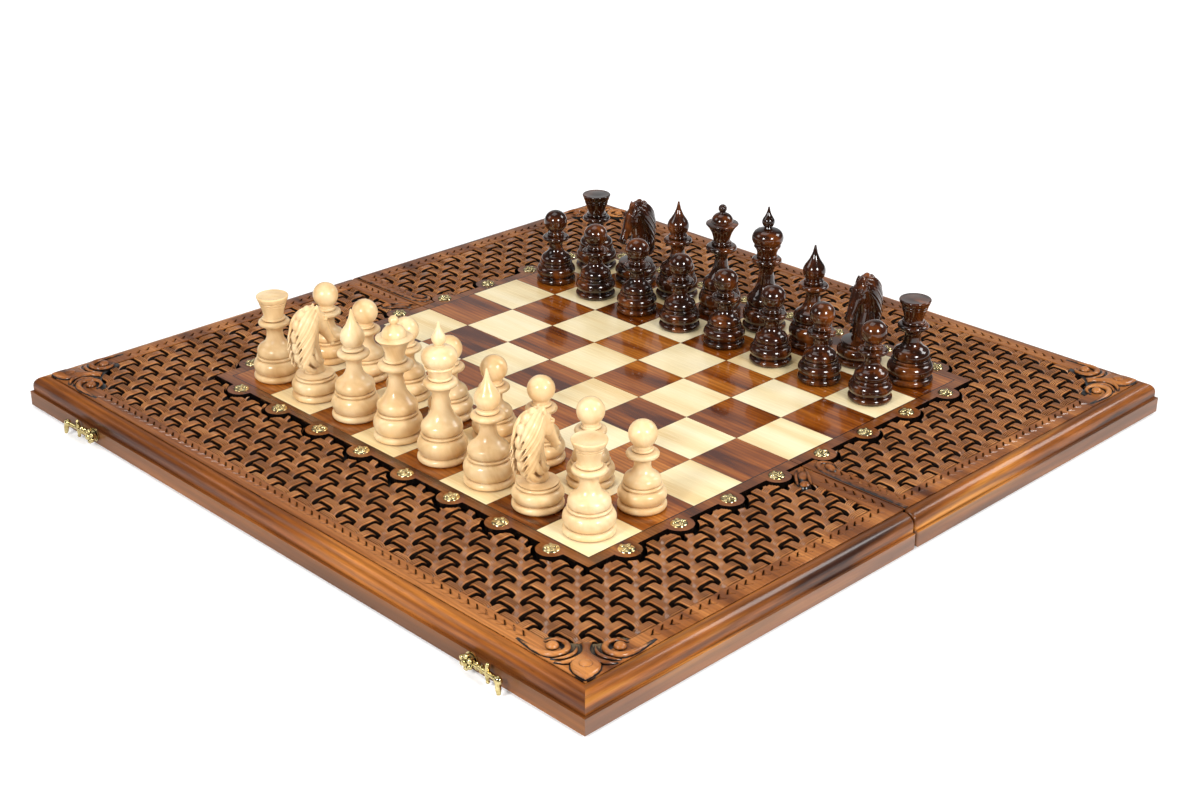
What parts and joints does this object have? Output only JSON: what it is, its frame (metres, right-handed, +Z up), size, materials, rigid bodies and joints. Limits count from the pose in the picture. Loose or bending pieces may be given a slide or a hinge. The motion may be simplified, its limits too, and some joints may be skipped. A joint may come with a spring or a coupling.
{
  "type": "folding chess and backgammon board",
  "caption": "Folding wooden games case with a carved basket-weave chess board outside, a backgammon board inside, brass hinges and hooks, and turned chessmen.",
  "frame": {"origin": "bottom centre of the open board, on the floor under the middle of the seam", "axes": "+X along the seam, +Y across the board from the half with the hooks to the half with the catches, +Z up from the floor through the chess side"},
  "size_m": [0.6, 0.618, 0.1277],
  "materials": {
    "frame_walnut": "satin lacquer",
    "carved_walnut": "carved, satin lacquer",
    "border_walnut": "gloss lacquer",
    "light_veneer": "gloss lacquer",
    "dark_veneer": "gloss lacquer",
    "brass": "polished",
    "light_men": "gloss lacquer",
    "dark_men": "stained, gloss lacquer"
  },
  "bodies": {
    "near_half": {"near_outer_rail": "frame_walnut", "near_side_rails": "frame_walnut", "near_spine_rail": "frame_walnut", "near_carved_panel": "carved_walnut", "near_scalloped_border": "border_walnut", "near_light_squares": "light_veneer", "near_dark_squares": "dark_veneer", "near_brass_studs": "brass", "near_light_points": "light_veneer", "near_dark_points": "dark_veneer", "near_hinge_leaves": "brass", "hinge_pins": "brass", "hook_plates": "brass"},
    "far_half": {"far_outer_rail": "frame_walnut", "far_side_rails": "frame_walnut", "far_spine_rail": "frame_walnut", "far_carved_panel": "carved_walnut", "far_scalloped_border": "border_walnut", "far_light_squares": "light_veneer", "far_dark_squares": "dark_veneer", "far_brass_studs": "brass", "far_light_points": "light_veneer", "far_dark_points": "dark_veneer", "far_hinge_leaves": "brass", "catch_posts": "brass"},
    "left_hook": {"left_hook": "brass"},
    "right_hook": {"right_hook": "brass"},
    "light_rook_1": {"light_rook_1": "light_men"},
    "light_knight_1": {"light_knight_1": "light_men"},
    "light_bishop_1": {"light_bishop_1": "light_men"},
    "light_king": {"light_king": "light_men"},
    "light_queen": {"light_queen": "light_men"},
    "light_bishop_2": {"light_bishop_2": "light_men"},
    "light_knight_2": {"light_knight_2": "light_men"},
    "light_rook_2": {"light_rook_2": "light_men"},
    "light_pawn_1": {"light_pawn_1": "light_men"},
    "light_pawn_2": {"light_pawn_2": "light_men"},
    "light_pawn_3": {"light_pawn_3": "light_men"},
    "light_pawn_4": {"light_pawn_4": "light_men"},
    "light_pawn_5": {"light_pawn_5": "light_men"},
    "light_pawn_6": {"light_pawn_6": "light_men"},
    "light_pawn_7": {"light_pawn_7": "light_men"},
    "light_pawn_8": {"light_pawn_8": "light_men"},
    "dark_rook_1": {"dark_rook_1": "dark_men"},
    "dark_knight_1": {"dark_knight_1": "dark_men"},
    "dark_bishop_1": {"dark_bishop_1": "dark_men"},
    "dark_king": {"dark_king": "dark_men"},
    "dark_queen": {"dark_queen": "dark_men"},
    "dark_bishop_2": {"dark_bishop_2": "dark_men"},
    "dark_knight_2": {"dark_knight_2": "dark_men"},
    "dark_rook_2": {"dark_rook_2": "dark_men"},
    "dark_pawn_1": {"dark_pawn_1": "dark_men"},
    "dark_pawn_2": {"dark_pawn_2": "dark_men"},
    "dark_pawn_3": {"dark_pawn_3": "dark_men"},
    "dark_pawn_4": {"dark_pawn_4": "dark_men"},
    "dark_pawn_5": {"dark_pawn_5": "dark_men"},
    "dark_pawn_6": {"dark_pawn_6": "dark_men"},
    "dark_pawn_7": {"dark_pawn_7": "dark_men"},
    "dark_pawn_8": {"dark_pawn_8": "dark_men"}
  },
  "joints": [
    {"name": "board_fold", "type": "hinge", "parent": "near_half", "child": "far_half", "pos_m": [0, 0, 0.0018], "axis": [-1, 0, 0], "range_deg": [0, 180]},
    {"name": "hook_left", "type": "hinge", "parent": "near_half", "child": "left_hook", "pos_m": [-0.207, -0.303, 0.0094], "axis": [0, -1, 0], "range_deg": [0, 90]},
    {"name": "hook_right", "type": "hinge", "parent": "near_half", "child": "right_hook", "pos_m": [0.207, -0.303, 0.0094], "axis": [0, 1, 0], "range_deg": [0, 90]},
    {"name": "lift_light_rook_1", "type": "slide", "parent": "near_half", "child": "light_rook_1", "axis": [0, 0, 1], "range_m": [0, 0.11]},
    {"name": "lift_light_knight_1", "type": "slide", "parent": "near_half", "child": "light_knight_1", "axis": [0, 0, 1], "range_m": [0, 0.11]},
    {"name": "lift_light_bishop_1", "type": "slide", "parent": "near_half", "child": "light_bishop_1", "axis": [0, 0, 1], "range_m": [0, 0.11]},
    {"name": "lift_light_king", "type": "slide", "parent": "near_half", "child": "light_king", "axis": [0, 0, 1], "range_m": [0, 0.11]},
    {"name": "lift_light_queen", "type": "slide", "parent": "near_half", "child": "light_queen", "axis": [0, 0, 1], "range_m": [0, 0.11]},
    {"name": "lift_light_bishop_2", "type": "slide", "parent": "near_half", "child": "light_bishop_2", "axis": [0, 0, 1], "range_m": [0, 0.11]},
    {"name": "lift_light_knight_2", "type": "slide", "parent": "near_half", "child": "light_knight_2", "axis": [0, 0, 1], "range_m": [0, 0.11]},
    {"name": "lift_light_rook_2", "type": "slide", "parent": "near_half", "child": "light_rook_2", "axis": [0, 0, 1], "range_m": [0, 0.11]},
    {"name": "lift_light_pawn_1", "type": "slide", "parent": "near_half", "child": "light_pawn_1", "axis": [0, 0, 1], "range_m": [0, 0.11]},
    {"name": "lift_light_pawn_2", "type": "slide", "parent": "near_half", "child": "light_pawn_2", "axis": [0, 0, 1], "range_m": [0, 0.11]},
    {"name": "lift_light_pawn_3", "type": "slide", "parent": "near_half", "child": "light_pawn_3", "axis": [0, 0, 1], "range_m": [0, 0.11]},
    {"name": "lift_light_pawn_4", "type": "slide", "parent": "near_half", "child": "light_pawn_4", "axis": [0, 0, 1], "range_m": [0, 0.11]},
    {"name": "lift_light_pawn_5", "type": "slide", "parent": "near_half", "child": "light_pawn_5", "axis": [0, 0, 1], "range_m": [0, 0.11]},
    {"name": "lift_light_pawn_6", "type": "slide", "parent": "near_half", "child": "light_pawn_6", "axis": [0, 0, 1], "range_m": [0, 0.11]},
    {"name": "lift_light_pawn_7", "type": "slide", "parent": "near_half", "child": "light_pawn_7", "axis": [0, 0, 1], "range_m": [0, 0.11]},
    {"name": "lift_light_pawn_8", "type": "slide", "parent": "near_half", "child": "light_pawn_8", "axis": [0, 0, 1], "range_m": [0, 0.11]},
    {"name": "lift_dark_rook_1", "type": "slide", "parent": "far_half", "child": "dark_rook_1", "axis": [0, 0, 1], "range_m": [0, 0.11]},
    {"name": "lift_dark_knight_1", "type": "slide", "parent": "far_half", "child": "dark_knight_1", "axis": [0, 0, 1], "range_m": [0, 0.11]},
    {"name": "lift_dark_bishop_1", "type": "slide", "parent": "far_half", "child": "dark_bishop_1", "axis": [0, 0, 1], "range_m": [0, 0.11]},
    {"name": "lift_dark_king", "type": "slide", "parent": "far_half", "child": "dark_king", "axis": [0, 0, 1], "range_m": [0, 0.11]},
    {"name": "lift_dark_queen", "type": "slide", "parent": "far_half", "child": "dark_queen", "axis": [0, 0, 1], "range_m": [0, 0.11]},
    {"name": "lift_dark_bishop_2", "type": "slide", "parent": "far_half", "child": "dark_bishop_2", "axis": [0, 0, 1], "range_m": [0, 0.11]},
    {"name": "lift_dark_knight_2", "type": "slide", "parent": "far_half", "child": "dark_knight_2", "axis": [0, 0, 1], "range_m": [0, 0.11]},
    {"name": "lift_dark_rook_2", "type": "slide", "parent": "far_half", "child": "dark_rook_2", "axis": [0, 0, 1], "range_m": [0, 0.11]},
    {"name": "lift_dark_pawn_1", "type": "slide", "parent": "far_half", "child": "dark_pawn_1", "axis": [0, 0, 1], "range_m": [0, 0.11]},
    {"name": "lift_dark_pawn_2", "type": "slide", "parent": "far_half", "child": "dark_pawn_2", "axis": [0, 0, 1], "range_m": [0, 0.11]},
    {"name": "lift_dark_pawn_3", "type": "slide", "parent": "far_half", "child": "dark_pawn_3", "axis": [0, 0, 1], "range_m": [0, 0.11]},
    {"name": "lift_dark_pawn_4", "type": "slide", "parent": "far_half", "child": "dark_pawn_4", "axis": [0, 0, 1], "range_m": [0, 0.11]},
    {"name": "lift_dark_pawn_5", "type": "slide", "parent": "far_half", "child": "dark_pawn_5", "axis": [0, 0, 1], "range_m": [0, 0.11]},
    {"name": "lift_dark_pawn_6", "type": "slide", "parent": "far_half", "child": "dark_pawn_6", "axis": [0, 0, 1], "range_m": [0, 0.11]},
    {"name": "lift_dark_pawn_7", "type": "slide", "parent": "far_half", "child": "dark_pawn_7", "axis": [0, 0, 1], "range_m": [0, 0.11]},
    {"name": "lift_dark_pawn_8", "type": "slide", "parent": "far_half", "child": "dark_pawn_8", "axis": [0, 0, 1], "range_m": [0, 0.11]}
  ]
}
